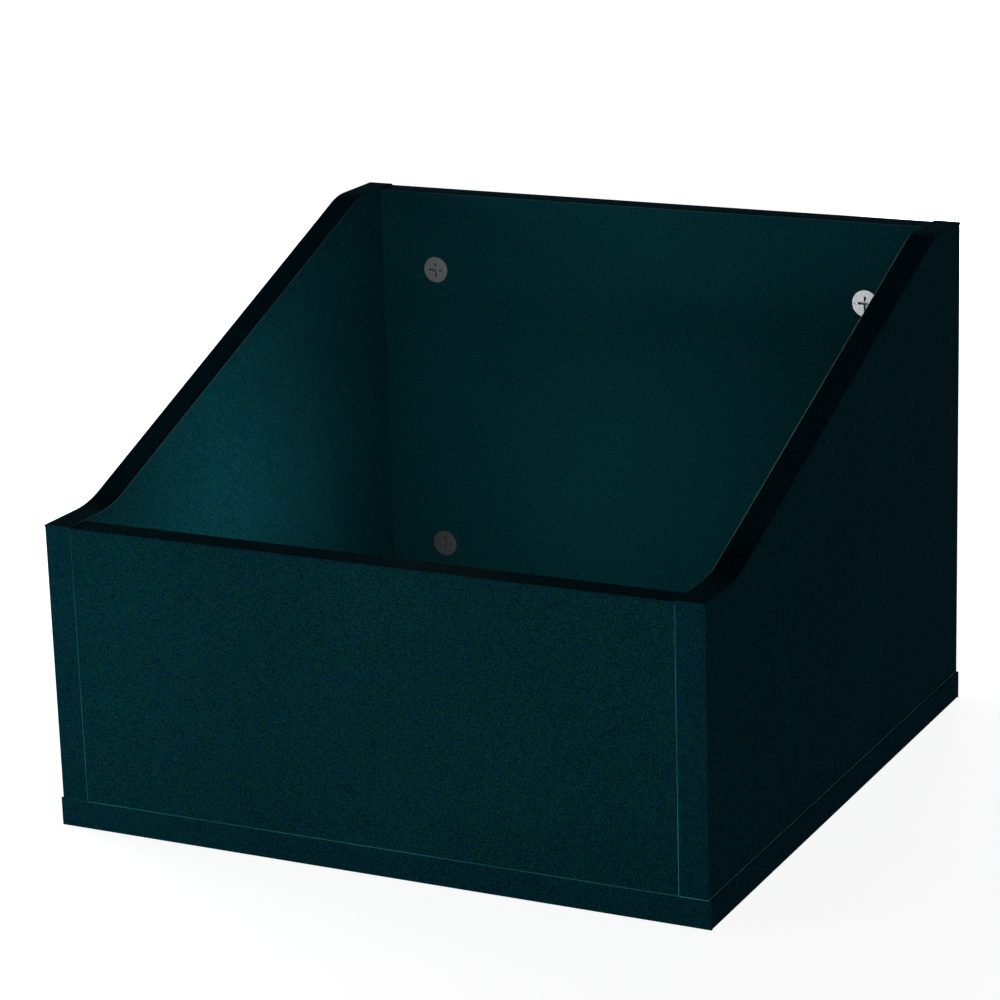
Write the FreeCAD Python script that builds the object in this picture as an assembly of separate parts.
import FreeCAD, Part
import math
import os

from FreeCAD import Vector

# Carcass sizes, in millimetres
BODY_WIDTH = 360.0  # across the outer faces of the two side panels
BODY_DEPTH = 355.0  # from the front face to the back face
BACK_HEIGHT = 270.0  # from the floor to the top of the side panels at the back
FRONT_HEIGHT = 162.0  # from the floor to the top of the side panels at the front
PANEL_DROP = 0.7  # how far the front and back panels stop below the sides beside them
BOARD = 15.0  # thickness of the faced chipboard, the same in every panel
BASE_OVERHANG = 1.3  # how far the base stands out past each side panel
FRONT_LEVEL = 40.0  # level run at the front end of a side panel's top edge
BACK_LEVEL = 40.0  # level run at its back end
FRONT_BLEND = 60.0  # radius of the hollow bend at the foot of the slope
BACK_BLEND = 40.0  # radius of the round bend at the head of the slope
BAND = 1.3  # thickness of the plastic edge band
BAND_ROUND = 0.9  # radius worked along the band's outer edges

# Cam fittings that pull the front and back panels against the sides
CAM_BORE = 15.0  # diameter of the bore in the panel's inner face
CAM_CLEARANCE = 0.08  # between the cam and the wall of its bore
CAM_END_GAP = 0.2  # between the cam and the floor of its bore
CAM_RECESS = 0.3  # how far the cam's face lies below the panel's face
CAM_REACH = 34.0  # from the end of the panel to the cam's axis
CAM_FLOOR = 1.2  # thickness of the cam under the pocket
CAM_RIM = 1.3  # thinnest wall round the pocket
CAM_THROW = 0.7  # how far the pocket's centre stands off the cam's axis
CAM_TURN = 180.0  # degrees from locked to open
CROSS_LENGTH = 8.0  # cross recess that takes the screwdriver
CROSS_WIDTH = 1.4
CROSS_FLOOR = 1.5  # thickness left between the cross recess and the pocket
ARROW_LENGTH = 1.6  # mark on the cam's face that points to the way in
ARROW_WIDTH = 1.8
ARROW_DEPTH = 0.4
ARROW_INSET = 0.7  # from the arrow's tip to the cam's edge
BOLT_HEAD = 5.8  # diameter of the bolt's head
BOLT_HEAD_LENGTH = 3.9
BOLT_NECK = 3.8  # diameter of the neck that runs in the cam's slot
BOLT_SHANK = 7.0
BOLT_SHOULDER = 0.8  # length of the taper from the neck to the shank
BOLT_THREAD = 6.0  # diameter of the part screwed into the side panel
BOLT_DEPTH = 11.0  # how far it goes into the side panel
BOLT_POINT = 1.0  # chamfer at its tip
BOLT_CLEARANCE = 0.5  # between the shank and its hole
HEAD_CLEARANCE = 0.2  # between the head and the cam
NECK_CLEARANCE = 0.15  # between the neck and the cam's slot
FRONT_CAM_INSET = 35.0  # from the front panel's long edges to its cams
BACK_CAM_INSET = 45.0  # from the back panel's long edges to its cams

# Dowels and base screws
DOWEL = 8.0  # diameter
DOWEL_LENGTH = 30.0
DOWEL_SEAT = 10.0  # how much of a dowel lies in the face of a panel
DOWEL_CHAMFER = 1.0
DOWEL_END_GAP = 1.0  # spare depth of the hole in the edge of a panel
FRONT_DOWELS = 1  # between the two cams of one end of the front panel
BACK_DOWELS = 2
SCREW_LENGTH = 50.0
SCREW_HEAD = 10.0  # diameter
SCREW_HEAD_RIM = 0.8  # straight part of the head above its cone
SCREW_CONE = 2.4  # height of the cone under the head
SCREW_SHANK = 7.0
SCREW_THREAD = 6.2
SCREW_POINT = 2.0  # length of the tapered tip
SCREW_RECESS = 0.3  # how far the head lies inside the underside of the base
SCREW_END_GAP = 1.5  # spare depth of the hole past the screw's tip
SOCKET = 4.0  # across the flats of the hexagon socket
SOCKET_DEPTH = 2.6
SIDE_SCREW_INSET = 50.0  # from the front and back faces to the outer screws of a side
SIDE_SCREWS = 3
PANEL_SCREW_INSET = 85.0  # from the ends of the front and back panels to their screws
PANEL_SCREWS = 2
FIT = 0.05  # clearance all round a dowel, a thread or a screw in its hole
NEAR = 1e-4  # lengths closer than this count as the same

# Planes that the pieces share
SIDE_OUT = BODY_WIDTH / 2
SIDE_IN = SIDE_OUT - BOARD
SIDE_MID = SIDE_OUT - BOARD / 2
FACE = BODY_DEPTH / 2
FACE_MID = FACE - BOARD / 2
BASE_EDGE = SIDE_OUT + BASE_OVERHANG
HALF_BOARD = BOARD / 2
SLOPE = math.atan2(BACK_HEIGHT - FRONT_HEIGHT, BODY_DEPTH - FRONT_LEVEL - BACK_LEVEL)

# Cam sizes that follow from the bore, the bolt and the board
CAM_RADIUS = CAM_BORE / 2 - CAM_CLEARANCE
POCKET_RADIUS = CAM_RADIUS - CAM_RIM - CAM_THROW
HEAD_BALL = POCKET_RADIUS - CAM_THROW - HEAD_CLEARANCE
POCKET_HALF = BOLT_HEAD / 2 + HEAD_CLEARANCE
CAM_TOP = HALF_BOARD - CAM_RECESS
CAM_BOTTOM = -POCKET_HALF - CAM_FLOOR
SLOT_HALF = BOLT_NECK / 2 + NECK_CLEARANCE

PIECES = {}


def box(low, high):
    size = Vector(*high) - Vector(*low)
    return Part.makeBox(size.x, size.y, size.z, Vector(*low))


def rod(radius, start, end):
    run = end - start
    return Part.makeCylinder(radius, run.Length, start, run)


def turned(outline):
    """A solid turned about the X axis from an open outline that starts and ends on it."""
    closing = Part.makeLine(outline[-1].lastVertex().Point, outline[0].firstVertex().Point)
    face = Part.Face(Part.Wire(outline + [closing]))
    return face.revolve(Vector(0, 0, 0), Vector(1, 0, 0), 360)


def lines(points):
    """Straight edges through points given as distance along X and radius."""
    places = [Vector(x, radius, 0) for x, radius in points]
    return [Part.makeLine(a, b) for a, b in zip(places, places[1:])]


def spread(first, last, count):
    """Even places from first to last, or the middle where there is one."""
    if count == 1:
        return [(first + last) / 2]
    step = (last - first) / (count - 1)
    return [first + step * i for i in range(count)]


def between(places):
    return [(a + b) / 2 for a, b in zip(places, places[1:])]


def eased(solid, radius, chosen):
    """Round the edges whose middle point passes the test."""
    edges = []
    for edge in solid.Edges:
        middle = edge.valueAt((edge.FirstParameter + edge.LastParameter) / 2)
        if chosen(middle):
            edges.append(edge)
    return solid.makeFillet(radius, edges)


def same(a, b):
    return abs(a - b) < NEAR


def side_top(inset):
    """Top edge of a side panel in the YZ plane, moved in from the finished outline."""
    shift = Vector(0, math.tan(SLOPE / 2), -1) * inset
    foot = Vector(0, -FACE + FRONT_LEVEL, FRONT_HEIGHT) + shift
    head = Vector(0, FACE - BACK_LEVEL, BACK_HEIGHT) + shift
    level = Vector(0, 1, 0)
    uphill = Vector(0, math.cos(SLOPE), math.sin(SLOPE))
    front_radius = FRONT_BLEND + inset
    back_radius = BACK_BLEND - inset
    front_run = front_radius * math.tan(SLOPE / 2)
    back_run = back_radius * math.tan(SLOPE / 2)
    normal = Vector(0, -math.sin(SLOPE / 2), math.cos(SLOPE / 2))
    front_rise = front_radius / math.cos(SLOPE / 2) - front_radius
    back_drop = back_radius / math.cos(SLOPE / 2) - back_radius
    front_end = Vector(0, -FACE, foot.z)
    foot_start = foot - level * front_run
    foot_end = foot + uphill * front_run
    head_start = head - uphill * back_run
    head_end = head + level * back_run
    back_end = Vector(0, FACE, head.z)
    return [
        Part.makeLine(front_end, foot_start),
        Part.Arc(foot_start, foot + normal * front_rise, foot_end).toShape(),
        Part.makeLine(foot_end, head_start),
        Part.Arc(head_start, head - normal * back_drop, head_end).toShape(),
        Part.makeLine(head_end, back_end),
    ]


def prism(edges, start, width):
    """A flat outline in the YZ plane, closed, and given its width along X."""
    face = Part.Face(Part.Wire(Part.__sortEdges__(edges)))
    face.translate(Vector(start, 0, 0))
    return face.extrude(Vector(width, 0, 0))


def side_board():
    """Chipboard of a side panel, centred on X, with its banded edges cut back by the band."""
    below = side_top(BAND)
    front_foot = Vector(0, -FACE, BOARD)
    back_foot = Vector(0, FACE, BOARD)
    outline = below + [
        Part.makeLine(below[0].Vertexes[0].Point, front_foot),
        Part.makeLine(front_foot, back_foot),
        Part.makeLine(back_foot, Vector(0, FACE, BACK_HEIGHT - BAND)),
    ]
    whole = prism(outline, -HALF_BOARD, BOARD)
    reach = FACE - BAND
    return whole.common(box((-BOARD, -reach, 0), (BOARD, reach, BACK_HEIGHT)))


def side_top_band():
    """Band bent over the top edge of a side panel, centred on X."""
    outer = side_top(0)
    ends = [
        Part.makeLine(Vector(0, y, z), Vector(0, y, z - BAND))
        for y, z in ((-FACE, FRONT_HEIGHT), (FACE, BACK_HEIGHT))
    ]
    strip = prism(outer + side_top(BAND) + ends, -HALF_BOARD, BOARD)
    edge_line = Part.Wire(outer)

    def on_rim(point):
        flat = Part.Vertex(Vector(0, point.y, point.z))
        return flat.distToShape(edge_line)[0] < NEAR

    return eased(strip, BAND_ROUND, on_rim)


def side_upright_band(face, height):
    """Band down the front or back edge of a side panel, centred on X."""
    inner = face - math.copysign(BAND, face)
    low, high = sorted((face, inner))
    strip = box((-HALF_BOARD, low, BOARD), (HALF_BOARD, high, height - BAND))

    def on_rim(point):
        return same(point.y, face) and same(abs(point.x), HALF_BOARD)

    return eased(strip, BAND_ROUND, on_rim)


def panel_top_band(face, height):
    """Band along the top edge of the front or back panel."""
    inner = face - math.copysign(BOARD, face)
    low, high = sorted((face, inner))
    strip = box((-SIDE_IN, low, height - BAND), (SIDE_IN, high, height))

    def on_rim(point):
        return same(point.z, height) and same(point.x, 0)

    return eased(strip, BAND_ROUND, on_rim)


def base_long_band(face):
    """Band along the front or back edge of the base, over its whole width."""
    inner = face - math.copysign(BAND, face)
    low, high = sorted((face, inner))
    strip = box((-BASE_EDGE, low, 0), (BASE_EDGE, high, BOARD))

    def on_rim(point):
        return same(point.y, face)

    return eased(strip, BAND_ROUND, on_rim)


def base_short_band(edge):
    """Band along the left or right edge of the base, between the two long bands."""
    inner = edge - math.copysign(BAND, edge)
    low, high = sorted((edge, inner))
    reach = FACE - BAND
    strip = box((low, -reach, 0), (high, reach, BOARD))

    def on_rim(point):
        return same(point.x, edge) and same(point.y, 0)

    return eased(strip, BAND_ROUND, on_rim)


def cam():
    """Cam, locked, with its axis on Z and the bolt coming in along X."""
    body = Part.makeCylinder(CAM_RADIUS, CAM_TOP - CAM_BOTTOM, Vector(0, 0, CAM_BOTTOM))
    pocket = Part.makeCylinder(POCKET_RADIUS, 2 * POCKET_HALF, Vector(-CAM_THROW, 0, -POCKET_HALF))
    past_rim = CAM_RADIUS + CAM_RIM
    up = Vector(0, 0, 1)
    slot = Part.makeCylinder(past_rim, 2 * SLOT_HALF, Vector(0, 0, -SLOT_HALF), up, CAM_TURN)
    slot.rotate(Vector(0, 0, 0), up, -CAM_TURN)
    neck_way = rod(SLOT_HALF, Vector(0, 0, 0), Vector(past_rim, 0, 0))
    opening = Vector(math.cos(math.radians(CAM_TURN)), -math.sin(math.radians(CAM_TURN)), 0)
    way_in = rod(POCKET_HALF, Vector(0, 0, 0), opening * past_rim)
    cross_depth = CAM_TOP - POCKET_HALF - CROSS_FLOOR
    long_half = CROSS_LENGTH / 2
    short_half = CROSS_WIDTH / 2
    cuts = [pocket, slot, neck_way, way_in]
    for half_x, half_y in ((long_half, short_half), (short_half, long_half)):
        cuts.append(box((-half_x, -half_y, CAM_TOP - cross_depth), (half_x, half_y, CAM_TOP)))
    tip = CAM_RADIUS - ARROW_INSET
    across = Vector(-opening.y, opening.x, 0) * (ARROW_WIDTH / 2)
    root = opening * (tip - ARROW_LENGTH)
    corners = [opening * tip, root + across, root - across]
    arrow = Part.Face(Part.makePolygon(corners + corners[:1])).extrude(up * ARROW_DEPTH)
    arrow.translate(up * (CAM_TOP - ARROW_DEPTH))
    return body.cut(cuts + [arrow])


def cam_bolt():
    """Bolt that the cam draws in, along X, with its round-shouldered head at the cam's axis."""
    head_radius = BOLT_HEAD / 2
    neck_radius = BOLT_NECK / 2
    shank_radius = BOLT_SHANK / 2
    thread_radius = BOLT_THREAD / 2
    shank_start = CAM_RADIUS + BOLT_SHOULDER
    tip = CAM_REACH + BOLT_DEPTH
    edge = math.sqrt(HEAD_BALL**2 - head_radius**2)
    throat = math.sqrt(HEAD_BALL**2 - neck_radius**2)
    turn = (math.atan2(head_radius, edge) + math.atan2(neck_radius, throat)) / 2
    crown = Vector(HEAD_BALL * math.cos(turn), HEAD_BALL * math.sin(turn), 0)
    head_end = HEAD_BALL - BOLT_HEAD_LENGTH
    outline = lines([(head_end, 0), (head_end, head_radius), (edge, head_radius)])
    outline.append(Part.Arc(Vector(edge, head_radius, 0), crown, Vector(throat, neck_radius, 0)).toShape())
    outline += lines([
        (throat, neck_radius),
        (shank_start, neck_radius),
        (shank_start + BOLT_SHOULDER, shank_radius),
        (CAM_REACH, shank_radius),
        (CAM_REACH, thread_radius),
        (tip - BOLT_POINT, thread_radius),
        (tip, thread_radius - BOLT_POINT),
        (tip, 0),
    ])
    return turned(outline)


def dowel():
    """Dowel along X, with the part that lies in a panel's face before the origin."""
    radius = DOWEL / 2
    start = -DOWEL_SEAT
    end = DOWEL_LENGTH - DOWEL_SEAT
    return turned(lines([
        (start, 0),
        (start, radius - DOWEL_CHAMFER),
        (start + DOWEL_CHAMFER, radius),
        (end - DOWEL_CHAMFER, radius),
        (end, radius - DOWEL_CHAMFER),
        (end, 0),
    ]))


def dowel_hole():
    end = DOWEL_LENGTH - DOWEL_SEAT + DOWEL_END_GAP
    return rod(DOWEL / 2 + FIT, Vector(-DOWEL_SEAT, 0, 0), Vector(end, 0, 0))


def screw_outline(gap):
    """Outline of a base screw along X from the underside of the base, or of its hole."""
    cone_start = SCREW_RECESS + SCREW_HEAD_RIM
    tip = SCREW_RECESS + SCREW_LENGTH
    return lines([
        (SCREW_RECESS, 0),
        (SCREW_RECESS, SCREW_HEAD / 2 + gap),
        (cone_start, SCREW_HEAD / 2 + gap),
        (cone_start + SCREW_CONE, SCREW_SHANK / 2 + gap),
        (BOARD, SCREW_SHANK / 2 + gap),
        (BOARD, SCREW_THREAD / 2 + gap),
        (tip - SCREW_POINT, SCREW_THREAD / 2 + gap),
        (tip, SCREW_THREAD / 2 + gap - SCREW_POINT),
        (tip, 0),
    ])


def base_screw():
    body = turned(screw_outline(0))
    corner = SOCKET / math.sqrt(3)
    turns = [math.radians(60 * i) for i in range(6)]
    corners = [Vector(SCREW_RECESS, corner * math.cos(a), corner * math.sin(a)) for a in turns]
    hexagon = Part.Face(Part.makePolygon(corners + corners[:1]))
    return body.cut(hexagon.extrude(Vector(SOCKET_DEPTH, 0, 0)))


def screw_hole():
    tip = SCREW_RECESS + SCREW_LENGTH
    mouth = rod(SCREW_HEAD / 2 + FIT, Vector(0, 0, 0), Vector(SCREW_RECESS, 0, 0))
    pilot = rod(SCREW_THREAD / 2 + FIT, Vector(BOARD, 0, 0), Vector(tip + SCREW_END_GAP, 0, 0))
    return turned(screw_outline(FIT)).fuse([mouth, pilot])


def placed(shape, place, x_way, z_way):
    """A copy moved to a place, with its X and Z axes turned to the ways given."""
    copy = shape.copy()
    turn = FreeCAD.Rotation(x_way, z_way.cross(x_way), z_way, "ZXY")
    copy.Placement = FreeCAD.Placement(place, turn)
    return copy


def add(name, *solids):
    PIECES[name] = solids[0] if len(solids) == 1 else Part.makeCompound(list(solids))


# Places of the fittings
UP = Vector(0, 0, 1)
RIGHT = Vector(1, 0, 0)
INWARD = {"front": Vector(0, 1, 0), "back": Vector(0, -1, 0)}
SIDES = {"left": -1, "right": 1}
PANEL_HEIGHT = {"front": FRONT_HEIGHT - PANEL_DROP, "back": BACK_HEIGHT - PANEL_DROP}
CAM_INSET = {"front": FRONT_CAM_INSET, "back": BACK_CAM_INSET}
DOWEL_COUNT = {"front": FRONT_DOWELS, "back": BACK_DOWELS}

SIDE_SCREW_ROW = spread(-FACE + SIDE_SCREW_INSET, FACE - SIDE_SCREW_INSET, SIDE_SCREWS)
PANEL_SCREW_ROW = spread(-SIDE_IN + PANEL_SCREW_INSET, SIDE_IN - PANEL_SCREW_INSET, PANEL_SCREWS)

screw_places = []
upright_dowel_places = []
for sign in SIDES.values():
    screw_places += [Vector(sign * SIDE_MID, y, 0) for y in SIDE_SCREW_ROW]
    upright_dowel_places += [Vector(sign * SIDE_MID, y, BOARD) for y in between(SIDE_SCREW_ROW)]
for way in INWARD.values():
    panel_mid = -FACE_MID * way.y
    screw_places += [Vector(x, panel_mid, 0) for x in PANEL_SCREW_ROW]
    upright_dowel_places += [Vector(x, panel_mid, BOARD) for x in between(PANEL_SCREW_ROW)]

cuts = []
cam_bolts = {side: [] for side in SIDES}
screws = [placed(base_screw(), place, UP, RIGHT) for place in screw_places]
cuts += [placed(screw_hole(), place, UP, RIGHT) for place in screw_places]
base_dowels = [placed(dowel(), place, UP, RIGHT) for place in upright_dowel_places]
cuts += [placed(dowel_hole(), place, UP, RIGHT) for place in upright_dowel_places]

for panel, inward in INWARD.items():
    panel_mid = -FACE_MID * inward.y
    low = BOARD + CAM_INSET[panel]
    high = PANEL_HEIGHT[panel] - CAM_INSET[panel]
    dowel_levels = spread(low, high, DOWEL_COUNT[panel] + 2)[1:-1]
    level_dowels = []
    for side, sign in SIDES.items():
        outward = Vector(sign, 0, 0)
        for level, name in ((low, "lower"), (high, "upper")):
            centre = Vector(sign * (SIDE_IN - CAM_REACH), panel_mid, level)
            joint = Vector(sign * SIDE_IN, panel_mid, level)
            add(f"{panel}_{side}_{name}_cam", placed(cam(), centre, outward, inward))
            cam_bolts[side].append(placed(cam_bolt(), centre, outward, inward))
            bore_floor = centre + inward * (CAM_BOTTOM - CAM_END_GAP)
            cuts.append(rod(CAM_BORE / 2, bore_floor, centre + inward * HALF_BOARD))
            cuts.append(rod(BOLT_SHANK / 2 + BOLT_CLEARANCE, centre, joint))
            cuts.append(rod(BOLT_THREAD / 2 + FIT, joint, joint + outward * (BOLT_DEPTH + FIT)))
        for level in dowel_levels:
            joint = Vector(sign * SIDE_IN, panel_mid, level)
            level_dowels.append(placed(dowel(), joint, -outward, inward))
            cuts.append(placed(dowel_hole(), joint, -outward, inward))
    add(f"{panel}_panel_dowels", *level_dowels)

for side, bolts in cam_bolts.items():
    add(f"{side}_side_cam_bolts", *bolts)
add("base_dowels", *base_dowels)
add("base_screws", *screws)

# Boards and their edge bands
inner_edge = BASE_EDGE - BAND
inner_face = FACE - BAND
base_blank = box((-inner_edge, -inner_face, 0), (inner_edge, inner_face, BOARD))
add("base_board", base_blank.cut(cuts))
for end, face in (("front", -FACE), ("back", FACE)):
    height = PANEL_HEIGHT[end]
    near, far = sorted((face, face - math.copysign(BOARD, face)))
    blank = box((-SIDE_IN, near, BOARD), (SIDE_IN, far, height - BAND))
    add(f"{end}_panel", blank.cut(cuts))
    add(f"{end}_panel_top_band", panel_top_band(face, height))
    add(f"base_{end}_band", base_long_band(face))
for side, sign in SIDES.items():
    shift = Vector(sign * SIDE_MID, 0, 0)
    pieces = {
        f"{side}_side_panel": side_board(),
        f"{side}_side_top_band": side_top_band(),
        f"{side}_side_front_band": side_upright_band(-FACE, FRONT_HEIGHT),
        f"{side}_side_back_band": side_upright_band(FACE, BACK_HEIGHT),
    }
    for name, piece in pieces.items():
        piece.translate(shift)
        add(name, piece.cut(cuts) if name.endswith("panel") else piece)
    add(f"base_{side}_band", base_short_band(sign * BASE_EDGE))

os.makedirs("parts", exist_ok=True)
for name, shape in PIECES.items():
    shape.exportStep(f"parts/{name}.step")
    print(name, len(shape.Solids), "solids", round(shape.Volume / 1000, 3), "cm3", shape.isValid())
